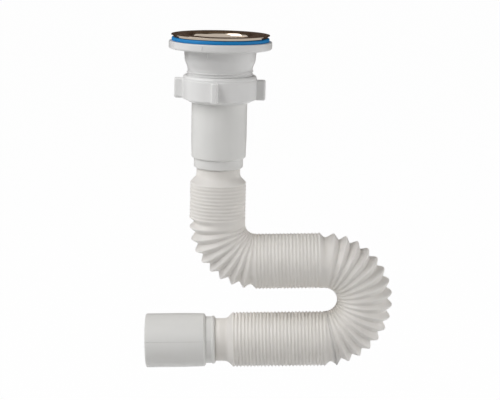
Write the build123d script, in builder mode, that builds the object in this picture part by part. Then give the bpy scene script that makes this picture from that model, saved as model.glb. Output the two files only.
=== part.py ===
"""Corrugated basin trap: strainer waste, coupling nut, bellows hose and a 40 mm outlet sleeve.

Millimetres and degrees, +Z up. The origin is on the waste's axis at the top of its gasket, where the
underside of a basin sits. +X points from the upright to the hose's return bend.
"""

import math
import os

from build123d import *

# Clearances
running_play = 0.3  # radial, between pieces that turn or slide on each other
glue_gap = 0.2  # radial, filled by the solvent cement that holds the hose in its sleeves

# Strainer: pressed stainless sheet, with a flat rim, a rolled hem under its edge and a perforated cup
strainer_radius = 35.2
strainer_top = 2.2
strainer_sheet = 0.8
strainer_edge_radius = 0.15
rim_edge = 0.5
hem_setback = 1.6  # from the rim's edge to the hem's upright face
hem_width = 1.9
hem_chamfer = 0.45
cup_radius = 22.8
cup_depth = 10.7
cup_taper = 1.2
cup_lip_bend = 3.0
cup_floor_bend = 2.5
drain_hole_radius = 2.5
outer_drain_ring = 15.6
outer_drain_count = 12
inner_drain_ring = 9.6
inner_drain_count = 6

# Strainer screw: M6 with a slotted pan head
screw_radius = 3.0
screw_length = 40.0
screw_tip = 0.8
head_radius = 5.5
head_height = 2.6
head_round = 1.4
slot_width = 1.4
slot_depth = 1.3

# Gasket: flat rubber ring
gasket_radius = 34.9
gasket_thickness = 2.5
gasket_round = 0.7

# Waste body: moulded flange, bowl and threaded neck
flange_radius = 36.9
flange_thickness = 5.5
flange_top_round = 0.7
flange_bottom_round = 1.4
bowl_radius = 26.0
bowl_mid_radius = 25.5
bowl_mid_depth = 6.0
bowl_depth = 15.5
bowl_curve = 4.2  # how far the bowl runs straight into the curve to its neck
neck_radius = 23.2
neck_end = -39.0
neck_wall = 2.8
neck_end_chamfer = 0.8
thread_height = 0.7
bowl_wall = 2.0

# Spider: hub and ribs inside the neck, with a brass insert for the screw
hub_radius = 6.6
hub_height = 14.0
hub_rise = 5.0
hub_roof = 2.0
rib_count = 4
rib_thickness = 2.6
rib_height = 9.0
insert_radius = 4.4
insert_groove = 0.5
insert_groove_width = 2.0

# Tail washer: sealing ring between the neck and the inlet sleeve
washer_thickness = 2.2
washer_chamfer = 0.4

# Coupling nut
nut_wall = 2.7  # over the thread's clearance
nut_top = -26.8
nut_bottom = -46.1
nut_top_round = 1.9
nut_ledge = 0.4  # the ring above the wings is this much smaller in radius
nut_ledge_top = -29.6
nut_cone_height = 2.7
nut_lip_land = 1.0
nut_turn = -5.5  # where the nut stopped when it was tightened
wing_count = 4
wing_reach = 6.0
wing_root = 1.8  # how deep the wings sit in the nut's wall
wing_thickness = 4.4
wing_top = -29.4
wing_bottom = -44.2
wing_round = 1.7
wing_end_round = 1.2

# Sleeves: the collar takes the hose, and the tube beyond it is drafted
sleeve_radius = 20.0
sleeve_draft = 0.4
sleeve_straight = 30.0  # the stretch at the mouth that fits other pieces, before the draft begins
sleeve_wall = 2.5
sleeve_end_chamfer = 1.1
sleeve_mouth_chamfer = 0.6
collar_radius = 17.3
collar_length = 7.2
collar_bead = 0.5
collar_bead_width = 2.2
collar_bead_chamfer = 1.0
hose_seat_depth = 8.6
hose_seat_thickness = 2.2
hose_seat_chamfer = 1.6
tail_flange_radius = 22.6
tail_flange_thickness = 2.3
inlet_collar_end = -94.0
outlet_length = 51.4

# Hose: bellows folds on runs and bends in one plane, closed on the runs and open round the bends
cuff_radius = 15.85
hose_wall = 1.2  # measured along the radius, so the sloping fold walls are about 0.7 thick
ridge_radius = 20.4
closed_fold_depth = 1.6
bend_inside_depth = 0.6
open_fold_depth = 4.4
fold_pitch = 2.6
open_pitch = 9.4  # along the outside of a bend
upright_ridges = 11
upper_ridges = 19
lower_ridges = 27
upright_gap = 5.0
upper_gap = 3.4
cone_length = 4.8
inlet_cuff_shown = 6.2
outlet_cuff_shown = 8.7
bend_radius = 27.8
return_radius = 29.9
run_rise = 2.0  # the runs fall this much from the return bend to the left

# Levels worked out from the sizes above
gasket_bottom = -gasket_thickness
flange_bottom = gasket_bottom - flange_thickness
bowl_bottom = flange_bottom - bowl_depth
bore_radius = neck_radius - neck_wall
cup_outer = cup_radius + strainer_sheet
cup_floor = strainer_top - cup_depth
bowl_opening = cup_outer + running_play
gasket_bore = cup_radius + cup_lip_bend
hub_top = bowl_bottom + hub_rise
hub_bottom = hub_top - hub_height
insert_top = hub_top - hub_roof
screw_hole = screw_radius + running_play
washer_bottom = neck_end - washer_thickness
tail_flange_bottom = washer_bottom - tail_flange_thickness
nut_thread_bore = neck_radius + thread_height + running_play
nut_radius = nut_thread_bore + nut_wall
wing_radius = nut_radius + wing_reach
wing_root_radius = nut_radius - wing_root
nut_washer_bore = tail_flange_radius + running_play
nut_lip_bore = sleeve_radius + running_play
nut_step = neck_end - running_play
nut_lip_top = tail_flange_bottom - running_play
inlet_length = washer_bottom - inlet_collar_end

# Hose line in the XZ plane: headings are angles from +X towards +Z
first_ridge = inlet_collar_end - inlet_cuff_shown - cone_length
upright_length = (upright_ridges - 1) * fold_pitch + upright_gap
upper_length = (upper_ridges - 1) * fold_pitch + upper_gap
lower_length = (lower_ridges - 1) * fold_pitch
bend_turn = 90 + run_rise
return_turn = 180
bend_start = upright_length
upper_start = bend_start + math.radians(bend_turn) * bend_radius
return_start = upper_start + upper_length
lower_start = return_start + math.radians(return_turn) * return_radius
hose_end = lower_start + lower_length


def along(point, heading, distance):
    """The point at a distance from another, along a heading in the XZ plane."""
    angle = math.radians(heading)
    return Vector(point.X + distance * math.cos(angle), 0, point.Z + distance * math.sin(angle))


def round_bend(start, heading, radius, turn):
    """The point and heading after turning by an angle, positive to the left, from a bend's start."""
    side = math.copysign(90, turn)
    centre = along(start, heading + side, radius)
    return along(centre, heading + turn - side, radius), heading + turn


hose_top = Vector(0, 0, first_ridge)
bend_entry = along(hose_top, -90, upright_length)
upper_entry, upper_heading = round_bend(bend_entry, -90, bend_radius, bend_turn)
return_entry = along(upper_entry, upper_heading, upper_length)
lower_entry, lower_heading = round_bend(return_entry, upper_heading, return_radius, -return_turn)
lower_exit = along(lower_entry, lower_heading, lower_length)


def hose_station(distance):
    """The point and heading of the hose's line at a distance from its first ridge."""
    if distance <= bend_start:
        return along(hose_top, -90, distance), -90
    if distance < upper_start:
        turn = math.degrees((distance - bend_start) / bend_radius)
        return round_bend(bend_entry, -90, bend_radius, turn)
    if distance <= return_start:
        return along(upper_entry, upper_heading, distance - upper_start), upper_heading
    if distance < lower_start:
        turn = math.degrees((distance - return_start) / return_radius)
        return round_bend(return_entry, upper_heading, return_radius, -turn)
    return along(lower_entry, lower_heading, distance - lower_start), lower_heading


def section(distance, radius, inward=0.0):
    """The plane and radius of one round section of the hose, moved to the left of its line."""
    point, heading = hose_station(distance)
    angle = math.radians(heading)
    origin = along(point, heading + 90, inward)
    tangent = Vector(math.cos(angle), 0, math.sin(angle))
    return Plane(origin=origin, x_dir=(0, 1, 0), z_dir=tangent), radius


def run_ridges(start, count):
    """The ridges of a straight run, with no turn."""
    return [(start + index * fold_pitch, 0) for index in range(count)]


def bend_ridges(end, radius, turn):
    """The ridges of a bend, set back from its end and marked with the side it turns to."""
    step = open_pitch * radius / (radius + ridge_radius)
    count = int(math.radians(abs(turn)) * radius / step)
    return [(end - index * step, math.copysign(1, turn)) for index in range(count, 0, -1)]


def hose_sections():
    """The hose's sections from cuff to cuff: a ridge, then the valley before the next one."""
    ridges = (
        run_ridges(0, upright_ridges)
        + bend_ridges(upper_start, bend_radius, bend_turn)
        + run_ridges(upper_start, upper_ridges)
        + bend_ridges(lower_start, return_radius, -return_turn)
        + run_ridges(lower_start, lower_ridges)
    )
    closed_valley = ridge_radius - closed_fold_depth
    open_valley = ridge_radius - (open_fold_depth + bend_inside_depth) / 2
    open_shift = (open_fold_depth - bend_inside_depth) / 2
    inlet_cuff = cone_length + inlet_cuff_shown + hose_seat_depth
    outlet_cuff = hose_end + cone_length + outlet_cuff_shown + hose_seat_depth

    sections = [section(-inlet_cuff, cuff_radius), section(-cone_length, cuff_radius)]
    for (here, side), (following, next_side) in zip(ridges, ridges[1:]):
        sections.append(section(here, ridge_radius))
        turned = side or next_side
        valley = open_valley if turned else closed_valley
        sections.append(section((here + following) / 2, valley, turned * open_shift))
    sections.append(section(hose_end, ridge_radius))
    sections.append(section(hose_end + cone_length, cuff_radius))
    sections.append(section(outlet_cuff, cuff_radius))
    return sections


def fold_faces(sections):
    """The ruled walls of the folds, each from one round section to the next."""
    rims = [Edge.make_circle(radius, plane) for plane, radius in sections]
    return [Face.make_surface_from_curves(rim, other) for rim, other in zip(rims, rims[1:])]


def sleeve_outline(plane, length):
    """Half section of a sleeve: local Y runs from the collar's hose end, local X is the radius."""
    bead_radius = collar_radius + collar_bead
    step_radius = sleeve_radius - sleeve_draft
    socket_radius = cuff_radius + glue_gap
    seat_radius = cuff_radius - hose_wall
    bore = sleeve_radius - sleeve_wall
    seat_top = hose_seat_depth + hose_seat_thickness
    with BuildSketch(plane) as outline:
        with BuildLine():
            Polyline(
                (socket_radius, 0),
                (bead_radius - collar_bead_chamfer, 0),
                (bead_radius, collar_bead_chamfer),
                (bead_radius, collar_bead_width),
                (collar_radius, collar_bead_width + collar_bead),
                (collar_radius, collar_length),
                (step_radius - sleeve_end_chamfer, collar_length),
                (step_radius, collar_length + sleeve_end_chamfer),
                (sleeve_radius, length - sleeve_straight),
                (sleeve_radius, length - sleeve_mouth_chamfer),
                (sleeve_radius - sleeve_mouth_chamfer, length),
                (bore, length),
                (bore, seat_top + bore - seat_radius - hose_seat_chamfer),
                (seat_radius + hose_seat_chamfer, seat_top),
                (seat_radius, seat_top - hose_seat_chamfer),
                (seat_radius, hose_seat_depth),
                (socket_radius, hose_seat_depth),
                close=True,
            )
        make_face()
    return outline.sketch


def sleeve_plane(origin, heading):
    """The plane of a sleeve's half section, with local Y along a heading in the XZ plane."""
    return Plane(origin=origin, x_dir=along(Vector(), heading - 90, 1), z_dir=(0, -1, 0))


def ring_edge(part, level):
    """The widest round edge of a part at a level."""
    level_edges = part.edges().filter_by(GeomType.CIRCLE).filter_by_position(Axis.Z, level, level)
    return level_edges.sort_by(SortBy.RADIUS)[-1]


inlet_plane = sleeve_plane(Vector(0, 0, inlet_collar_end), 90)
outlet_collar_end = along(lower_exit, lower_heading, cone_length + outlet_cuff_shown)
outlet_plane = sleeve_plane(outlet_collar_end, lower_heading)

os.makedirs("parts", exist_ok=True)

with BuildPart() as strainer:
    hem_outer = strainer_radius - hem_setback
    hem_inner = hem_outer - hem_width
    with BuildSketch(Plane.XZ):
        with BuildLine():
            FilletPolyline(
                (hem_inner, strainer_top),
                (cup_radius, strainer_top),
                (cup_radius - cup_taper, cup_floor),
                (screw_hole, cup_floor),
                radius=(cup_lip_bend, cup_floor_bend),
            )
            offset(amount=strainer_sheet, side=Side.LEFT)
        make_face()
        with BuildLine():
            Polyline(
                (hem_inner, strainer_top),
                (strainer_radius, strainer_top),
                (strainer_radius, strainer_top - rim_edge),
                (hem_outer, strainer_top - strainer_sheet),
                (hem_outer, hem_chamfer),
                (hem_outer - hem_chamfer, 0),
                (hem_inner, 0),
                close=True,
            )
        make_face()
    revolve(axis=Axis.Z)
    fillet(ring_edge(strainer, strainer_top), strainer_edge_radius)
    with BuildSketch(Plane.XY.offset(cup_floor)):
        with PolarLocations(outer_drain_ring, outer_drain_count):
            Circle(drain_hole_radius)
        with PolarLocations(inner_drain_ring, inner_drain_count):
            Circle(drain_hole_radius)
    extrude(amount=-strainer_sheet, mode=Mode.SUBTRACT)
strainer.part.label = "strainer"
export_step(strainer.part, "parts/strainer.step")

with BuildPart() as strainer_screw:
    with BuildSketch(Plane.XY.offset(cup_floor)):
        Circle(head_radius)
    extrude(amount=head_height)
    fillet(ring_edge(strainer_screw, cup_floor + head_height), head_round)
    with BuildSketch(Plane.XY.offset(cup_floor)):
        Circle(screw_radius)
    extrude(amount=-screw_length)
    chamfer(ring_edge(strainer_screw, cup_floor - screw_length), screw_tip)
    with BuildSketch(Plane.XY.offset(cup_floor + head_height)):
        Rectangle(2 * head_radius, slot_width)
    extrude(amount=-slot_depth, mode=Mode.SUBTRACT)
strainer_screw.part.label = "strainer_screw"
export_step(strainer_screw.part, "parts/strainer_screw.step")

with BuildPart() as flange_gasket:
    with BuildSketch(Plane.XY.offset(gasket_bottom)):
        Circle(gasket_radius)
        Circle(gasket_bore, mode=Mode.SUBTRACT)
    extrude(amount=gasket_thickness)
    fillet([ring_edge(flange_gasket, level) for level in (0, gasket_bottom)], gasket_round)
flange_gasket.part.label = "flange_gasket"
export_step(flange_gasket.part, "parts/flange_gasket.step")

with BuildPart() as waste_body:
    bowl_mid = flange_bottom - bowl_mid_depth
    with BuildSketch(Plane.XZ):
        with BuildLine():
            Polyline(
                (bowl_opening, gasket_bottom),
                (flange_radius, gasket_bottom),
                (flange_radius, flange_bottom),
                (bowl_radius, flange_bottom),
                (bowl_mid_radius, bowl_mid),
            )
            Bezier(
                (bowl_mid_radius, bowl_mid),
                (bowl_mid_radius, bowl_mid - bowl_curve),
                (neck_radius, bowl_bottom + bowl_curve),
                (neck_radius, bowl_bottom),
            )
            Polyline(
                (neck_radius, bowl_bottom),
                (neck_radius, neck_end),
                (bore_radius, neck_end),
                (bore_radius, bowl_bottom),
            )
            Bezier(
                (bore_radius, bowl_bottom),
                (bore_radius, bowl_bottom + bowl_curve),
                (bowl_mid_radius - bowl_wall, bowl_mid - bowl_curve),
                (bowl_mid_radius - bowl_wall, bowl_mid),
            )
            Line((bowl_mid_radius - bowl_wall, bowl_mid), (bowl_opening, gasket_bottom))
        make_face()
    revolve(axis=Axis.Z)
    fillet(ring_edge(waste_body, gasket_bottom), flange_top_round)
    fillet(ring_edge(waste_body, flange_bottom), flange_bottom_round)
    chamfer(ring_edge(waste_body, neck_end), neck_end_chamfer)
    with BuildSketch(Plane.XY.offset(hub_bottom)):
        Circle(hub_radius)
    extrude(amount=hub_height)
    with BuildSketch(Plane.XY.offset(hub_bottom)):
        with PolarLocations((bore_radius + neck_wall / 2) / 2, rib_count):
            Rectangle(bore_radius + neck_wall / 2, rib_thickness)
    extrude(amount=rib_height)
    with BuildSketch(Plane.XY.offset(hub_bottom)):
        Circle(insert_radius)
    extrude(amount=insert_top - hub_bottom, mode=Mode.SUBTRACT)
    with BuildSketch(Plane.XY.offset(insert_top)):
        Circle(screw_hole)
    extrude(amount=hub_roof, mode=Mode.SUBTRACT)
waste_body.part.label = "waste_body"
export_step(waste_body.part, "parts/waste_body.step")

with BuildPart() as threaded_insert:
    groove_middle = (insert_top + hub_bottom) / 2
    with BuildSketch(Plane.XY.offset(hub_bottom)):
        Circle(insert_radius)
        Circle(screw_hole, mode=Mode.SUBTRACT)
    extrude(amount=insert_top - hub_bottom)
    with BuildSketch(Plane.XY.offset(groove_middle - insert_groove_width / 2)):
        Circle(insert_radius)
        Circle(insert_radius - insert_groove, mode=Mode.SUBTRACT)
    extrude(amount=insert_groove_width, mode=Mode.SUBTRACT)
threaded_insert.part.label = "threaded_insert"
export_step(threaded_insert.part, "parts/threaded_insert.step")

with BuildPart() as tail_washer:
    with BuildSketch(Plane.XY.offset(washer_bottom)):
        Circle(tail_flange_radius)
        Circle(sleeve_radius - sleeve_wall, mode=Mode.SUBTRACT)
    extrude(amount=washer_thickness)
    chamfer([ring_edge(tail_washer, level) for level in (neck_end, washer_bottom)], washer_chamfer)
tail_washer.part.label = "tail_washer"
export_step(tail_washer.part, "parts/tail_washer.step")

with BuildPart() as coupling_nut:
    with BuildSketch(Plane.XZ):
        with BuildLine():
            Polyline(
                (nut_thread_bore, nut_top),
                (nut_radius - nut_ledge, nut_top),
                (nut_radius - nut_ledge, nut_ledge_top),
                (nut_radius, nut_ledge_top - nut_ledge),
                (nut_radius, nut_bottom + nut_cone_height),
                (nut_lip_bore + nut_lip_land, nut_bottom),
                (nut_lip_bore, nut_bottom),
                (nut_lip_bore, nut_lip_top),
                (nut_washer_bore, nut_lip_top),
                (nut_washer_bore, nut_step),
                (nut_thread_bore, nut_step),
                close=True,
            )
        make_face()
    revolve(axis=Axis.Z)
    fillet(ring_edge(coupling_nut, nut_top), nut_top_round)
    with BuildPart(mode=Mode.PRIVATE) as wing:
        with BuildSketch(Plane.YZ.offset(wing_root_radius)):
            with Locations((0, (wing_top + wing_bottom) / 2)):
                RectangleRounded(wing_thickness, wing_top - wing_bottom, wing_round)
        extrude(amount=wing_radius - wing_root_radius)
        fillet(wing.faces().sort_by(Axis.X)[-1].edges(), wing_end_round)
    with PolarLocations(0, wing_count, start_angle=nut_turn):
        add(wing.part)
coupling_nut.part.label = "coupling_nut"
export_step(coupling_nut.part, "parts/coupling_nut.step")

with BuildPart() as inlet_sleeve:
    revolve(sleeve_outline(inlet_plane, inlet_length), axis=Axis.Z)
    with BuildSketch(Plane.XY.offset(tail_flange_bottom)):
        Circle(tail_flange_radius)
        Circle(sleeve_radius - sleeve_wall, mode=Mode.SUBTRACT)
    extrude(amount=tail_flange_thickness)
inlet_sleeve.part.label = "inlet_sleeve"
export_step(inlet_sleeve.part, "parts/inlet_sleeve.step")

with BuildPart() as corrugated_hose:
    outer_sections = hose_sections()
    inner_sections = [(plane, radius - hose_wall) for plane, radius in outer_sections]
    hose_faces = fold_faces(outer_sections) + fold_faces(inner_sections)
    for plane, radius in (outer_sections[0], outer_sections[-1]):
        with BuildSketch(plane, mode=Mode.PRIVATE) as cuff_end:
            Circle(radius)
            Circle(radius - hose_wall, mode=Mode.SUBTRACT)
        hose_faces += cuff_end.sketch.faces()
    add(Solid(Shell(hose_faces)))
corrugated_hose.part.label = "corrugated_hose"
export_step(corrugated_hose.part, "parts/corrugated_hose.step")

with BuildPart() as outlet_sleeve:
    outlet_axis = Axis(outlet_plane.origin, outlet_plane.y_dir)
    revolve(sleeve_outline(outlet_plane, outlet_length), axis=outlet_axis)
outlet_sleeve.part.label = "outlet_sleeve"
export_step(outlet_sleeve.part, "parts/outlet_sleeve.step")
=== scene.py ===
"""Dresses the corrugated basin trap: finishes, hose folds, screw threads, mould seams, studio and camera."""

import logging
import math
from dataclasses import dataclass, field
from enum import Enum
from typing import Any

import bpy
import numpy as np
from mathutils import Matrix, Vector


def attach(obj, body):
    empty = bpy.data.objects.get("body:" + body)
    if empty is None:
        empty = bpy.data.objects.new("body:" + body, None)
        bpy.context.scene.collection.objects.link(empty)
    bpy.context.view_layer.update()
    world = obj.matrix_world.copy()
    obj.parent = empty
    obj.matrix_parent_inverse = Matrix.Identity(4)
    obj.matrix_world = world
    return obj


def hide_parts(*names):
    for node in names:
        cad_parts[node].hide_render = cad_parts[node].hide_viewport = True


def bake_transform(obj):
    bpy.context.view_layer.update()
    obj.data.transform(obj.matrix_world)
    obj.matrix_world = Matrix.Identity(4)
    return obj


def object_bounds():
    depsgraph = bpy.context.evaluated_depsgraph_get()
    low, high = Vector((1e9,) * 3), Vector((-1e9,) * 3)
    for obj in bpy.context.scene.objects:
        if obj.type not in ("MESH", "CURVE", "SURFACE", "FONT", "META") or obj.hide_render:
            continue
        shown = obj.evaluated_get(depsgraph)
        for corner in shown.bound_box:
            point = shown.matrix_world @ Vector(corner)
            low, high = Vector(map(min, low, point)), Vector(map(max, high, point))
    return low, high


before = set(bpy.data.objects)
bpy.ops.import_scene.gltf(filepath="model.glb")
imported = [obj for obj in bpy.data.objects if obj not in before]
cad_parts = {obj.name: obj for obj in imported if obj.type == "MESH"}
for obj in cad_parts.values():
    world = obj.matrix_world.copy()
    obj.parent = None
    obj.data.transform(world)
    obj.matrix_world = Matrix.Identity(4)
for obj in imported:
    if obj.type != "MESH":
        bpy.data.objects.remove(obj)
cad_low, cad_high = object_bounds()

log = logging.getLogger("basin_trap")

MM = 0.001
# The span that most of a noise texture's values lie in.
NOISE_LOW, NOISE_HIGH = 0.3, 0.7
# A wave texture with a scale of 1 repeats at this length.
WAVE_REPEAT = math.pi / 10


def linear(hex_colour: str) -> tuple[float, float, float, float]:
    """Turns an sRGB hex colour to linear.

    Args:
        hex_colour: six hex digits, with or without a leading hash.

    Returns:
        The linear red, green and blue, with an alpha of 1.
    """
    digits = hex_colour.lstrip("#")
    channels = [int(digits[i : i + 2], 16) / 255 for i in (0, 2, 4)]
    red, green, blue = (c / 12.92 if c <= 0.04045 else ((c + 0.055) / 1.055) ** 2.4 for c in channels)
    return red, green, blue, 1.0


def add_node(tree: bpy.types.NodeTree, kind: str, inputs: dict[Any, Any], **settings: Any) -> bpy.types.Node:
    """Adds a node with its settings, and sets or links its inputs.

    Args:
        tree: the node tree that takes the node.
        kind: the node's type name.
        inputs: socket name or index to a value, or to an output socket to link from.
        **settings: attributes of the node.

    Returns:
        The new node.
    """
    node = tree.nodes.new(kind)
    for name, value in settings.items():
        setattr(node, name, value)
    for socket, value in inputs.items():
        if isinstance(value, bpy.types.NodeSocket):
            tree.links.new(value, node.inputs[socket])
        else:
            node.inputs[socket].default_value = value
    return node


class Grain(Enum):
    """How a finish's surface was made, which decides its fine relief."""

    MOULDED = "moulded"
    SPUN = "spun"
    THREADED = "threaded"


@dataclass(frozen=True)
class Finish:
    """One real material with the way that its surface was made.

    The colour varies between two close hex values in patches of a real size, and the relief
    and the gloss vary with a finer pattern of a real size.
    """

    name: str
    colour: str
    second_colour: str
    roughness: float
    roughness_spread: float
    patch_mm: float
    grain_mm: float
    relief_mm: float
    grain: Grain = Grain.MOULDED
    metallic: float = 0.0
    ior: float = 1.5
    specular: float = 0.5
    subsurface: float = 0.0
    subsurface_mm: float = 1.0

    def material(self) -> bpy.types.Material:
        """Builds the Blender material of this finish.

        Returns:
            The new material, named for the finish.
        """
        material = bpy.data.materials.new(self.name)
        material.use_nodes = True
        tree = material.node_tree
        tree.nodes.clear()
        place = add_node(tree, "ShaderNodeTexCoord", {}).outputs["Object"]
        patches = add_node(
            tree,
            "ShaderNodeTexNoise",
            {"Vector": place, "Scale": 1 / (self.patch_mm * MM), "Detail": 3.0, "Roughness": 0.55},
        )
        colour = add_node(
            tree,
            "ShaderNodeMix",
            {"Factor": patches.outputs["Fac"], "A": linear(self.colour), "B": linear(self.second_colour)},
            data_type="RGBA",
        )
        relief = self._relief(tree, place)
        gloss = add_node(
            tree,
            "ShaderNodeMapRange",
            {
                "Value": patches.outputs["Fac"],
                "From Min": NOISE_LOW,
                "From Max": NOISE_HIGH,
                "To Min": self.roughness - self.roughness_spread,
                "To Max": self.roughness + self.roughness_spread,
            },
        )
        bump = add_node(
            tree,
            "ShaderNodeBump",
            {"Height": relief, "Strength": 1.0, "Distance": self.relief_mm * MM},
        )
        shader = add_node(
            tree,
            "ShaderNodeBsdfPrincipled",
            {
                "Base Color": colour.outputs["Result"],
                "Metallic": self.metallic,
                "Roughness": gloss.outputs["Result"],
                "IOR": self.ior,
                "Specular IOR Level": self.specular,
                "Normal": bump.outputs["Normal"],
                "Subsurface Weight": self.subsurface,
                "Subsurface Radius": (1.0, 1.0, 1.0),
                "Subsurface Scale": self.subsurface_mm * MM,
            },
        )
        add_node(tree, "ShaderNodeOutputMaterial", {"Surface": shader.outputs["BSDF"]})
        return material

    def _relief(self, tree: bpy.types.NodeTree, place: bpy.types.NodeSocket) -> bpy.types.NodeSocket:
        """Adds the fine pattern that the relief follows.

        Args:
            tree: the material's node tree.
            place: the object coordinates.

        Returns:
            The pattern's height socket.
        """
        wave_scale = WAVE_REPEAT / (self.grain_mm * MM)
        if self.grain is Grain.SPUN:
            rings = add_node(
                tree,
                "ShaderNodeTexWave",
                {"Vector": place, "Scale": wave_scale, "Distortion": 0.6, "Detail": 2.0},
                wave_type="RINGS",
                rings_direction="Z",
            )
            return rings.outputs["Fac"]
        if self.grain is Grain.THREADED:
            turns = add_node(
                tree,
                "ShaderNodeTexWave",
                {"Vector": place, "Scale": wave_scale, "Distortion": 0.0},
                wave_type="BANDS",
                bands_direction="Z",
            )
            return turns.outputs["Fac"]
        texture = add_node(
            tree,
            "ShaderNodeTexNoise",
            {"Vector": place, "Scale": 1 / (self.grain_mm * MM), "Detail": 2.0, "Roughness": 0.5},
        )
        return texture.outputs["Fac"]


# Stainless sheet, pressed and polished on a wheel: a mirror softened by fine rings round the axis.
# The rings are drawn coarser than real ones, so that they show.
POLISHED_STAINLESS = Finish(
    "stainless_steel_pressed_polished", "#b5a89a", "#c2b6a9", roughness=0.13, roughness_spread=0.02,
    patch_mm=14.0, grain_mm=0.8, relief_mm=0.0001, grain=Grain.SPUN, metallic=1.0,
)
# Stainless wire, rolled: the same metal, with the screw's pitch as its relief.
ROLLED_STAINLESS = Finish(
    "stainless_steel_rolled_thread", "#b0aaa4", "#c4beb8", roughness=0.25, roughness_spread=0.04,
    patch_mm=6.0, grain_mm=1.0, relief_mm=0.25, grain=Grain.THREADED, metallic=1.0,
)
# Nitrile rubber, moulded: a solid azure with a dull skin.
BLUE_RUBBER = Finish(
    "nitrile_rubber_moulded_blue", "#0080c3", "#0377b6", roughness=0.5, roughness_spread=0.05,
    patch_mm=9.0, grain_mm=0.4, relief_mm=0.02, specular=0.4,
)
# Nitrile rubber, moulded: near black with a dull skin.
GREY_RUBBER = Finish(
    "nitrile_rubber_moulded_grey", "#3a3b3c", "#434446", roughness=0.6, roughness_spread=0.05,
    patch_mm=9.0, grain_mm=0.4, relief_mm=0.02,
)
# Polypropylene, injection moulded in a polished tool: a cool milky white with a soft shine.
WHITE_POLYPROPYLENE = Finish(
    "polypropylene_injection_moulded_white", "#dfdfde", "#d9d9d8", roughness=0.34, roughness_spread=0.04,
    patch_mm=22.0, grain_mm=1.2, relief_mm=0.012, ior=1.49, subsurface=0.12, subsurface_mm=1.6,
)
# The same plastic as the body, painted whiter and a little milkier so that its shaded side stays pale:
# painted light.
NUT_POLYPROPYLENE_PAINTED_LIGHT = Finish(
    "polypropylene_nut_painted_lighter", "#e4e4e3", "#dfdfde", roughness=0.32, roughness_spread=0.04,
    patch_mm=22.0, grain_mm=1.2, relief_mm=0.012, ior=1.49, subsurface=0.25, subsurface_mm=2.0,
)
# The same plastic in a worn tool: a little greener and duller, with flow marks.
SLEEVE_POLYPROPYLENE = Finish(
    "polypropylene_injection_moulded_sleeve", "#e1e1df", "#dcdcd9", roughness=0.38, roughness_spread=0.05,
    patch_mm=16.0, grain_mm=1.2, relief_mm=0.015, ior=1.49, subsurface=0.12, subsurface_mm=1.6,
)
# Polypropylene, blow moulded: a warm off-white with a waxy skin.
HOSE_POLYPROPYLENE = Finish(
    "polypropylene_blow_moulded_hose", "#f3eee7", "#ede8e0", roughness=0.46, roughness_spread=0.05,
    patch_mm=18.0, grain_mm=0.9, relief_mm=0.02, ior=1.49, subsurface=0.8, subsurface_mm=3.2,
)
# Free-cutting brass, turned: yellow metal with fine tool rings.
TURNED_BRASS = Finish(
    "brass_turned", "#c8a24e", "#bd9645", roughness=0.28, roughness_spread=0.04,
    patch_mm=5.0, grain_mm=0.3, relief_mm=0.004, grain=Grain.SPUN, metallic=1.0,
)


def mesh_piece(
    name: str,
    points: np.ndarray,
    faces: list[tuple[int, ...]],
    material: bpy.types.Material,
    smooth: bool = False,
) -> bpy.types.Object:
    """Makes a mesh object in the shared frame.

    Args:
        name: the piece's name.
        points: vertices in millimetres, one row each.
        faces: vertex indices of each face.
        material: the finish.
        smooth: whether the faces are shaded smooth.

    Returns:
        The new object, linked to the scene.
    """
    mesh = bpy.data.meshes.new(name)
    mesh.from_pydata((points * MM).tolist(), [], faces)
    mesh.polygons.foreach_set("use_smooth", [smooth] * len(mesh.polygons))
    mesh.materials.append(material)
    mesh.validate()
    piece = bpy.data.objects.new(name, mesh)
    bpy.context.scene.collection.objects.link(piece)
    return piece


def dress(node: str, material: bpy.types.Material) -> None:
    """Gives a node of the part its finish.

    Args:
        node: the node's name.
        material: the finish for all its faces.
    """
    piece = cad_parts[node]
    piece.data.materials.clear()
    piece.data.materials.append(material)
    log.info("dressed %s in %s", node, material.name)


def skin_rings(rings: np.ndarray, flip: bool, first: int = 0) -> list[tuple[int, ...]]:
    """Joins closed rings of points with quads.

    Args:
        rings: an array of rings, points and coordinates.
        flip: whether the faces look inward.
        first: the index of the first point in the mesh.

    Returns:
        The faces.
    """
    count, around = rings.shape[:2]
    faces = []
    for row in range(count - 1):
        here = first + row * around
        for k in range(around):
            following = (k + 1) % around
            quad = (here + k, here + following, here + around + following, here + around + k)
            faces.append(quad[::-1] if flip else quad)
    return faces


def skin_bar(steps: int) -> list[tuple[int, ...]]:
    """Joins sections of four corners each into a closed bar.

    Args:
        steps: the number of steps from the first section to the last.

    Returns:
        The faces, with both ends.
    """
    corners = 4
    faces: list[tuple[int, ...]] = []
    for first in range(0, corners * steps, corners):
        second = first + corners
        for k in range(corners):
            following = (k + 1) % corners
            faces.append((first + k, first + following, second + following, second + k))
    start = tuple(range(corners))
    return faces + [start[::-1], tuple(corners * steps + k for k in start)]


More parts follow.
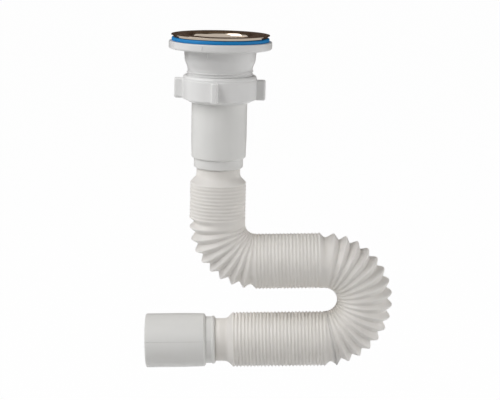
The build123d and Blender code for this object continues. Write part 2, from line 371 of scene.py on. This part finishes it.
@dataclass
class HoseLine:
    """The hose's line in the XZ plane, in millimetres: runs and bends from the first ridge on."""

    top: float = -105.0
    run_rise: float = 2.0
    bend_radius: float = 27.8
    return_radius: float = 29.9
    upright_length: float = 31.0
    upper_length: float = 50.2
    lower_length: float = 67.6

    def stretches(self) -> list[tuple[float, float]]:
        """Lists the stretches of the line in order.

        Returns:
            Each stretch's length and its turn in degrees, positive to the left.
        """
        bend, back = 90 + self.run_rise, 180.0
        return [
            (self.upright_length, 0.0),
            (math.radians(bend) * self.bend_radius, bend),
            (self.upper_length, 0.0),
            (math.radians(back) * self.return_radius, -back),
            (self.lower_length, 0.0),
        ]

    def starts(self) -> list[float]:
        """Measures where the stretches meet.

        Returns:
            The distance at which each stretch starts, with the line's end last.
        """
        marks = [0.0]
        for length, _ in self.stretches():
            marks.append(marks[-1] + length)
        return marks

    def station(self, distance: float) -> tuple[np.ndarray, np.ndarray]:
        """Finds a place on the line.

        Args:
            distance: the way from the first ridge, which may lie before it or past the end.

        Returns:
            The point, and the direction to the line's left.
        """
        point, heading, left_over = np.array([0.0, 0.0, self.top]), -90.0, distance
        stretches = self.stretches()
        for index, (length, turn) in enumerate(stretches):
            last = index == len(stretches) - 1
            here = left_over if last else min(left_over, length)
            if turn:
                radius = length / math.radians(abs(turn))
                side = math.copysign(90.0, turn)
                centre = point + radius * self._direction(heading + side)
                heading += turn * here / length
                point = centre + radius * self._direction(heading - side)
            else:
                point = point + here * self._direction(heading)
            left_over -= here
            if left_over <= 0 or last:
                break
        return point, self._direction(heading + 90.0)

    @staticmethod
    def _direction(heading: float) -> np.ndarray:
        """The direction of a heading, in degrees from +X towards +Z."""
        angle = math.radians(heading)
        return np.array([math.cos(angle), 0.0, math.sin(angle)])


@dataclass
class CorrugatedHose:
    """The blow-moulded bellows hose, in millimetres, with round crests and narrow valleys.

    The crests, valleys and cuff_round are the share of each flank that the rounding of a corner takes.
    """

    line: HoseLine = field(default_factory=HoseLine)
    cuff_radius: float = 15.85
    wall: float = 1.2
    ridge_radius: float = 20.4
    closed_depths: tuple[float, float, float] = (0.22, 0.42, 0.64)
    inside_depth: float = 0.55
    open_depth: float = 4.4
    fold_fade: float = 2.3
    join_fade: float = 3.5
    edge_share: float = 2.4
    edge_fade: float = 9.0
    pitch: float = 2.6
    open_pitch: float = 9.4
    ridges: tuple[int, int, int] = (11, 19, 27)
    cone: float = 4.8
    inlet_cuff: float = 14.8
    outlet_cuff: float = 17.3
    around: int = 112
    closed_crest: float = 0.18
    open_crest: float = 0.2
    closed_valley: float = 0.22
    open_valley: float = 0.15
    join_valley: float = 0.4
    cuff_round: float = 0.2
    round_points: int = 5

    def _angles(self) -> np.ndarray:
        """The angles of a section's points, from the line's left."""
        return np.linspace(0, 2 * math.pi, self.around, endpoint=False)

    def _ring(self, distance: float, radius: float | np.ndarray) -> np.ndarray:
        """One section of the hose.

        Args:
            distance: the way along the line.
            radius: the section's radius, or one for each of its points.

        Returns:
            The section's points.
        """
        point, left = self.line.station(distance)
        angles = self._angles()
        across = np.array([0.0, 1.0, 0.0])
        circle = np.outer(np.cos(angles), left) + np.outer(np.sin(angles), across)
        return point + np.broadcast_to(radius, (self.around,))[:, None] * circle

    def _fold_depth(self, side: float, least: float, fade: float) -> np.ndarray:
        """How deep the folds are round a section.

        Args:
            side: the side that the bend turns to, or 0 on a run.
            least: the depth on a run's flanks, or on the inside of a bend.
            fade: how fast the depth falls off from the outside of a bend.

        Returns:
            The depth at each point, deepest on the outside of a bend, or in the bends' plane on a run.
        """
        across = np.cos(self._angles())
        if not side:
            return least * (1 + (self.edge_share - 1) * np.abs(across) ** self.edge_fade)
        outward = (1 - side * across) / 2
        return least + (self.open_depth - least) * outward**fade

    def _ridge_places(self) -> list[tuple[float, float, float]]:
        """Spaces the ridges along the line.

        Returns:
            Each ridge's distance, the side that its bend turns to, or 0 on a run, and its closed depth.
        """
        marks = self.line.starts()
        places: list[tuple[float, float, float]] = []
        for index, (length, turn) in enumerate(self.line.stretches()):
            if turn:
                radius = length / math.radians(abs(turn))
                step = self.open_pitch * radius / (radius + self.ridge_radius)
                count = int(length / step)
                end = marks[index + 1]
                places += [(end - k * step, math.copysign(1.0, turn), 0.0) for k in range(count, 0, -1)]
            else:
                run = index // 2
                start, depth = marks[index], self.closed_depths[run]
                places += [(start + k * self.pitch, 0.0, depth) for k in range(self.ridges[run])]
        return places

    def _corners(self, inset: float) -> tuple[list[np.ndarray], list[float]]:
        """The hose's sections from cuff to cuff, as corners of its long section.

        Args:
            inset: how far inside the outer skin the sections lie.

        Returns:
            The sections, and the share of each neighbouring flank that its rounding takes.
        """
        places = self._ridge_places()
        rings = [
            self._ring(-self.cone - self.inlet_cuff, self.cuff_radius - inset),
            self._ring(-self.cone, self.cuff_radius - inset),
        ]
        rounds = [0.0, self.cuff_round]
        for (here, side, closed), (following, next_side, _) in zip(places, places[1:]):
            turned = side or next_side
            joined = side != next_side
            fade = self.join_fade if joined else self.fold_fade
            depth = self._fold_depth(turned, closed or self.inside_depth, fade)
            crest = self.open_crest if side else self.closed_crest
            # A crest stands higher by what its rounding takes off.
            rings.append(self._ring(here, self.ridge_radius - inset + crest * depth / 2))
            rounds.append(crest)
            rings.append(self._ring((here + following) / 2, self.ridge_radius - inset - depth))
            rounds.append(self.join_valley if joined else self.open_valley if turned else self.closed_valley)
        end = places[-1][0]
        last_depth = self.closed_depths[-1]
        rings.append(self._ring(end, self.ridge_radius - inset + self.closed_crest * last_depth / 2))
        rings.append(self._ring(end + self.cone, self.cuff_radius - inset))
        rings.append(self._ring(end + self.cone + self.outlet_cuff, self.cuff_radius - inset))
        rounds += [self.closed_crest, self.cuff_round, 0.0]
        return rings, rounds

    def _rounded(self, rings: list[np.ndarray], rounds: list[float], first: int, last: int) -> np.ndarray:
        """Rounds the corners of a stretch of the long section.

        Args:
            rings: the sections at the corners.
            rounds: the share of the flanks that each rounding takes.
            first: the first section of the stretch.
            last: the last section of the stretch.

        Returns:
            The finer sections, from corner to corner.
        """
        fine = [rings[first]]
        for index in range(first + 1, last):
            share, corner = rounds[index], rings[index]
            before = corner + share * (rings[index - 1] - corner)
            after = corner + share * (rings[index + 1] - corner)
            for t in np.linspace(0, 1, self.round_points):
                fine.append((1 - t) ** 2 * before + 2 * t * (1 - t) * corner + t**2 * after)
        fine.append(rings[last])
        return np.array(fine)

    def build(self, material: bpy.types.Material) -> None:
        """Builds the hose as an upper and a lower piece that meet in a valley.

        Args:
            material: the finish.
        """
        outer, rounds = self._corners(0.0)
        inner, _ = self._corners(self.wall)
        last = len(outer) - 1
        # The lower run has two sections a ridge, and the cuff has two more.
        cuts = (0, last - 2 * self.ridges[-1] - 2, last)
        pieces = []
        for name, start, end in zip(("upper", "lower"), cuts, cuts[1:]):
            skin = self._rounded(outer, rounds, start, end)
            lining = np.array(inner[start : end + 1])
            points = np.concatenate([skin.reshape(-1, 3), lining.reshape(-1, 3)])
            offset = skin.shape[0] * self.around
            faces = skin_rings(skin, True) + skin_rings(lining, False, offset)
            faces += self._end_faces(skin.shape[0], lining.shape[0])
            piece = mesh_piece(f"hose_{name}", points, faces, material, smooth=True)
            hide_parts("corrugated_hose")
            pieces.append(piece)
            log.info("built %s with %d faces", piece.name, len(faces))
        self._hang(*pieces)

    def _end_faces(self, skin_rows: int, lining_rows: int) -> list[tuple[int, ...]]:
        """Closes both ends of a piece between its skin and its lining.

        Args:
            skin_rows: the number of sections in the skin.
            lining_rows: the number of sections in the lining.

        Returns:
            The faces of both ends.
        """
        faces = []
        lining_first = skin_rows * self.around
        for row, other, flip in ((0, 0, False), (skin_rows - 1, lining_rows - 1, True)):
            for k in range(self.around):
                following = (k + 1) % self.around
                quad = (
                    row * self.around + k,
                    row * self.around + following,
                    lining_first + other * self.around + following,
                    lining_first + other * self.around + k,
                )
                faces.append(quad[::-1] if flip else quad)
        return faces

    def _hang(self, upper: bpy.types.Object, lower: bpy.types.Object) -> None:
        """Bakes the transforms of both pieces into their meshes.

        Args:
            upper: the piece from the inlet's cuff to the return bend.
            lower: the piece from the return bend to the outlet's cuff.
        """
        marks = self.line.starts()
        top, _ = self.line.station(0.0)
        foot, _ = self.line.station((self.ridges[0] - 1) * self.pitch)
        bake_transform(upper)
        entry, _ = self.line.station(marks[-2])
        leave, _ = self.line.station(marks[-1])
        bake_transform(lower)


@dataclass
class MouldSeam:
    """A fine raised line that a mould's halves leave along a turned profile, in millimetres.

    The section's corners are shares of the height and of half the width, with one flank wide and one steep.
    """

    name: str
    body: str
    profile: tuple[tuple[float, float], ...]
    angle: float
    width: float = 0.7
    height: float = 0.45
    slot: str = "white_plastic"
    section: tuple[tuple[float, float], ...] = ((-1.0, -4.0), (1.0, -0.5), (1.0, 0.5), (-1.0, 0.8))

    def build(self, origin: Vector, axis: Vector, side: Vector, material: bpy.types.Material) -> None:
        """Builds the seam as a thin bar that is let into the surface.

        Args:
            origin: the profile's zero on the axis.
            axis: the direction in which the profile's second number grows.
            side: the direction that the angle is measured from, about the axis.
            material: the finish.
        """
        across = axis.cross(side)
        points = []
        for radius, level in self.profile:
            half = self.width / 2 / radius
            for lift, spread in self.section:
                turn = math.radians(self.angle) + spread * half
                out = side * math.cos(turn) + across * math.sin(turn)
                points.append(tuple(origin + axis * level + out * (radius + lift * self.height)))
        piece = mesh_piece(self.name, np.array(points), skin_bar(len(self.profile) - 1), material)
        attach(piece, self.body)
        log.info("built %s", self.name)


@dataclass
class ScrewThread:
    """A right-hand thread on the waste's axis, in millimetres: one helical bar that runs out at both ends.

    The shares are half the bar's width at its root and at its crest, as shares of the pitch.
    """

    name: str
    body: str
    root: float
    crest: float
    top: float
    bottom: float
    lead_angle: float
    pitch: float = 2.309
    steps: int = 72
    run_out: float = 0.2
    root_share: float = 0.36
    crest_share: float = 0.08

    def build(self, material: bpy.types.Material) -> None:
        """Builds the thread.

        Args:
            material: the finish of the piece that carries it.
        """
        count = int((self.top - self.bottom) / self.pitch * self.steps)
        run_out = self.run_out * self.steps
        half_root, half_crest = self.root_share * self.pitch, self.crest_share * self.pitch
        section = (
            (self.root, -half_root),
            (self.crest, -half_crest),
            (self.crest, half_crest),
            (self.root, half_root),
        )
        points = []
        for step in range(count + 1):
            level = self.bottom + self.pitch * step / self.steps
            turn = 2 * math.pi * level / self.pitch + math.radians(self.lead_angle)
            fade = min(1.0, step / run_out, (count - step) / run_out)
            for radius, drop in section:
                reach = self.root + (radius - self.root) * fade
                points.append((reach * math.cos(turn), reach * math.sin(turn), level + drop))
        faces = skin_bar(count)
        if self.crest > self.root:
            faces = [face[::-1] for face in faces]
        thread = mesh_piece(self.name, np.array(points), faces, material)
        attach(thread, self.body)
        log.info("built %s with %.1f turns", self.name, count / self.steps)


@dataclass
class WasteHead:
    """Strainer, gasket, waste body and nut, in millimetres."""

    flange_profile: tuple[tuple[float, float], ...] = ((36.9, -6.2), (36.9, -3.6))
    bowl_profile: tuple[tuple[float, float], ...] = ((25.5, -14.0), (26.0, -8.2))
    seam_angle: float = -109.0
    neck_thread: ScrewThread = field(
        default_factory=lambda: ScrewThread(
            "neck_thread", "waste", root=23.1, crest=23.85, top=-23.0, bottom=-38.3, lead_angle=80.0
        )
    )
    nut_thread: ScrewThread = field(
        default_factory=lambda: ScrewThread(
            "nut_thread", "nut", root=24.3, crest=23.5, top=-27.3, bottom=-38.2, lead_angle=260.0
        )
    )

    def build(self) -> None:
        """Dresses the head's nodes and adds its threads and its mould seams."""
        white, nut_white_painted_light = WHITE_POLYPROPYLENE.material(), NUT_POLYPROPYLENE_PAINTED_LIGHT.material()
        dress("strainer", POLISHED_STAINLESS.material())
        dress("strainer_screw", ROLLED_STAINLESS.material())
        dress("flange_gasket", BLUE_RUBBER.material())
        dress("tail_washer", GREY_RUBBER.material())
        dress("threaded_insert", TURNED_BRASS.material())
        dress("waste_body", white)
        # The nut wears a lighter copy of the body's white plastic: painted light on its shaded side.
        dress("coupling_nut", nut_white_painted_light)
        self.neck_thread.build(white)
        self.nut_thread.build(nut_white_painted_light)
        for half, turn in (("front", 0.0), ("back", 180.0)):
            for place, profile in (("flange", self.flange_profile), ("bowl", self.bowl_profile)):
                seam = MouldSeam(f"{place}_seam_{half}", "waste", profile, self.seam_angle + turn)
                seam.build(Vector(), Vector((0, 0, 1)), Vector((1, 0, 0)), white)


@dataclass
class Sleeves:
    """The inlet and outlet sleeves, in millimetres from the collar's hose end."""

    collar_end: float = -94.0
    outlet_origin: tuple[float, float, float] = (-0.024, 0.0, -224.625)
    outlet_axis: tuple[float, float, float] = (-0.999391, 0.0, -0.034899)
    seam_angle: float = -14.0
    collar_profile: tuple[tuple[float, float], ...] = ((17.3, 2.9), (17.3, 7.1))
    wall_profile: tuple[tuple[float, float], ...] = ((19.6, 8.4), (20.0, 21.4), (20.0, 50.6))
    seam_width: float = 0.6
    seam_height: float = 0.18
    band_root: float = 17.1
    band_radius: float = 17.8
    band_levels: tuple[float, float] = (2.0, 7.3)
    band_around: int = 192

    def build(self) -> None:
        """Dresses both sleeves, and adds the inlet's collar band and the outlet's mould seams."""
        plastic = SLEEVE_POLYPROPYLENE.material()
        dress("inlet_sleeve", plastic)
        dress("outlet_sleeve", plastic)
        self._collar_band(plastic)
        origin, axis = Vector(self.outlet_origin), Vector(self.outlet_axis).normalized()
        front = Vector((0, -1, 0))
        for half, turn in (("front", 0.0), ("back", 180.0)):
            for place, profile in (("collar", self.collar_profile), ("wall", self.wall_profile)):
                seam = MouldSeam(
                    f"outlet_{place}_seam_{half}", "outlet", profile, turn - self.seam_angle,
                    width=self.seam_width, height=self.seam_height, slot="sleeve_plastic",
                )
                seam.build(origin, axis, front, plastic)

    def _collar_band(self, material: bpy.types.Material) -> None:
        """Builds up the inlet's collar above its bead, where the photograph shows it straight.

        Args:
            material: the sleeve's finish.
        """
        low, high = self.band_levels
        root, crest = self.band_root, self.band_radius
        section = ((root, low), (crest, low), (crest, high), (root, high))
        angles = np.linspace(0, 2 * math.pi, self.band_around, endpoint=False)
        circle = np.column_stack((np.cos(angles), np.sin(angles), np.zeros(self.band_around)))
        rings = np.array([radius * circle + (0.0, 0.0, self.collar_end + level) for radius, level in section])
        total = len(section) * self.band_around
        closed = np.concatenate([rings, rings[:1]])
        faces = [tuple(index % total for index in face) for face in skin_rings(closed, False)]
        band = mesh_piece("inlet_collar_band", rings.reshape(-1, 3), faces, material)
        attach(band, "tail")
        log.info("built %s", band.name)


@dataclass(frozen=True)
class Lamp:
    """A soft square lamp, in metres and watts, and whether polished metal shows it."""

    name: str
    place: tuple[float, float, float]
    size: float
    power: float
    mirrored: bool = False


@dataclass
class Studio:
    """Floor, boards, soft lamps, white backdrop and the photograph's camera.

    The camera and the lamps are in metres and degrees, and the floor and the boards in millimetres.
    """

    aim: tuple[float, float, float] = (0.023495, 0.0, -0.117879)
    distance: float = 1.0086
    pitch: float = 11.653
    roll: float = 1.271
    focal_px: float = 1382.0
    width_px: float = 500.0
    sensor_mm: float = 36.0
    floor_colour: str = "#e8e8e8"
    floor_drop: float = 65.0
    floor_half_width: float = 12000.0
    floor_share: float = 0.985
    board_roughness: float = 0.9
    ambient: float = 0.1
    ambient_colour: str = "#fff7ee"
    lamp_colour: str = "#fefeff"
    lamps: tuple[Lamp, ...] = (
        Lamp("key_lamp", (-0.76, -0.42, 0.64), size=0.88, power=11.9, mirrored=True),
        Lamp("side_lamp", (1.08, -0.30, 0.14), size=1.0, power=6.9),
        Lamp("back_lamp", (0.15, 1.0, 0.9), size=0.6, power=3.6),
    )
    back_flag_colour: str = "#57473b"
    top_flag_colour: str = "#8a7a68"
    flag_half_width: float = 1600.0
    flag_back: float = 900.0
    flag_front: float = -900.0
    flag_bottom: float = -310.0
    flag_join: float = 700.0
    flag_top: float = 1200.0

    def build(self) -> None:
        """Sets up the camera, the floor, the backdrop, the lamps and the boards."""
        scene = bpy.context.scene
        scene.view_settings.view_transform = "Standard"
        self._camera(scene)
        self._floor()
        self._backdrop(scene)
        for lamp in self.lamps:
            self._lamp(lamp)
        self._flags()
        log.info("studio ready")

    def _camera(self, scene: bpy.types.Scene) -> None:
        """Adds the camera where the photograph was taken.

        Args:
            scene: the scene that looks through it.
        """
        tilt, lean = math.radians(self.pitch), math.radians(self.roll)
        forward = Vector((0, math.cos(tilt), -math.sin(tilt)))
        level_right, level_up = Vector((1, 0, 0)), Vector((0, math.sin(tilt), math.cos(tilt)))
        right = level_right * math.cos(lean) + level_up * math.sin(lean)
        up = level_up * math.cos(lean) - level_right * math.sin(lean)
        data = bpy.data.cameras.new("photo_camera")
        data.sensor_width = self.sensor_mm
        data.lens = self.focal_px * self.sensor_mm / self.width_px
        camera = bpy.data.objects.new("photo_camera", data)
        stand = Matrix.Translation(Vector(self.aim) - forward * self.distance)
        camera.matrix_world = stand @ Matrix((right, up, -forward)).transposed().to_4x4()
        scene.collection.objects.link(camera)
        scene.camera = camera

    def _seen(self, tree: bpy.types.NodeTree) -> bpy.types.NodeSocket:
        """Adds the factor that is 1 for rays that show the backdrop.

        Args:
            tree: the node tree that takes the nodes.

        Returns:
            The factor's socket.
        """
        path = add_node(tree, "ShaderNodeLightPath", {})
        either = add_node(
            tree,
            "ShaderNodeMath",
            {0: path.outputs["Is Camera Ray"], 1: path.outputs["Is Glossy Ray"]},
            operation="MAXIMUM",
        )
        shown = add_node(
            tree,
            "ShaderNodeMath",
            {0: either.outputs["Value"], 1: path.outputs["Is Transmission Ray"]},
            operation="MAXIMUM",
        )
        return shown.outputs["Value"]

    def _floor(self) -> None:
        """Adds the pale floor, white where it is lit, with a trace of the object's shadow."""
        low = cad_low.z / MM - self.floor_drop
        half = self.floor_half_width
        corners = np.array([(-half, -half, low), (half, -half, low), (half, half, low), (-half, half, low)])
        material = bpy.data.materials.new("painted_board_white")
        material.use_nodes = True
        tree = material.node_tree
        tree.nodes.clear()
        board = add_node(
            tree,
            "ShaderNodeBsdfPrincipled",
            {"Base Color": linear(self.floor_colour), "Roughness": self.board_roughness},
        )
        glow = add_node(tree, "ShaderNodeEmission", {"Color": (1, 1, 1, 1), "Strength": 1.0})
        share = add_node(
            tree, "ShaderNodeMath", {0: self._seen(tree), 1: self.floor_share}, operation="MULTIPLY"
        )
        mix = add_node(
            tree,
            "ShaderNodeMixShader",
            {0: share.outputs["Value"], 1: board.outputs["BSDF"], 2: glow.outputs["Emission"]},
        )
        add_node(tree, "ShaderNodeOutputMaterial", {"Surface": mix.outputs["Shader"]})
        floor = mesh_piece("floor", corners, [(0, 1, 2, 3)], material)

    def _backdrop(self, scene: bpy.types.Scene) -> None:
        """Makes the surroundings white to the eye and a plain soft light to the object.

        Args:
            scene: the scene that takes the world.
        """
        world = bpy.data.worlds.new("studio")
        world.use_nodes = True
        tree = world.node_tree
        tree.nodes.clear()
        soft = add_node(
            tree, "ShaderNodeBackground", {"Color": linear(self.ambient_colour), "Strength": self.ambient}
        )
        white = add_node(tree, "ShaderNodeBackground", {"Color": (1, 1, 1, 1), "Strength": 1.0})
        mix = add_node(
            tree,
            "ShaderNodeMixShader",
            {0: self._seen(tree), 1: soft.outputs["Background"], 2: white.outputs["Background"]},
        )
        add_node(tree, "ShaderNodeOutputWorld", {"Surface": mix.outputs["Shader"]})
        scene.world = world

    def _flags(self) -> None:
        """Adds the boards behind and above the object that polished metal mirrors, out of sight."""
        far, near = self.flag_back, self.flag_front
        low, mid, high = self.flag_bottom, self.flag_join, self.flag_top
        self._flag("back_flag", self.back_flag_colour, ((far, low), (far, mid)))
        self._flag("top_flag", self.top_flag_colour, ((far, mid), (far, high), (near, high)))

    def _flag(self, name: str, colour: str, outline: tuple[tuple[float, float], ...]) -> None:
        """Adds one board that only mirrors see.

        Args:
            name: the board's name.
            colour: its paint, as a hex colour.
            outline: its section's corners as depth and height, in millimetres.
        """
        material = bpy.data.materials.new(f"painted_board_{name}")
        material.use_nodes = True
        shader = material.node_tree.nodes["Principled BSDF"]
        shader.inputs["Base Color"].default_value = linear(colour)
        shader.inputs["Roughness"].default_value = self.board_roughness
        sides = (-self.flag_half_width, self.flag_half_width)
        corners = np.array([(side, depth, height) for depth, height in outline for side in sides])
        faces = [(2 * step, 2 * step + 1, 2 * step + 3, 2 * step + 2) for step in range(len(outline) - 1)]
        flag = mesh_piece(name, corners, faces, material)
        flag.visible_camera = False
        flag.visible_diffuse = False
        flag.visible_shadow = False

    def _lamp(self, lamp: Lamp) -> None:
        """Adds a lamp that looks at the object.

        Args:
            lamp: the lamp's name, place, size and power.
        """
        data = bpy.data.lights.new(lamp.name, "AREA")
        data.size = lamp.size
        data.energy = lamp.power
        data.color = linear(self.lamp_colour)[:3]
        stand = bpy.data.objects.new(lamp.name, data)
        stand.location = lamp.place
        stand.visible_glossy = lamp.mirrored
        stand.rotation_euler = (Vector(self.aim) - Vector(lamp.place)).to_track_quat("-Z", "Y").to_euler()
        bpy.context.scene.collection.objects.link(stand)


def main() -> None:
    """Builds the sub-assemblies in order, then the studio."""
    logging.basicConfig(level=logging.INFO, format="%(name)s: %(message)s")
    WasteHead().build()
    Sleeves().build()
    CorrugatedHose().build(HOSE_POLYPROPYLENE.material())
    Studio().build()


if __name__ == "__main__":
    main()
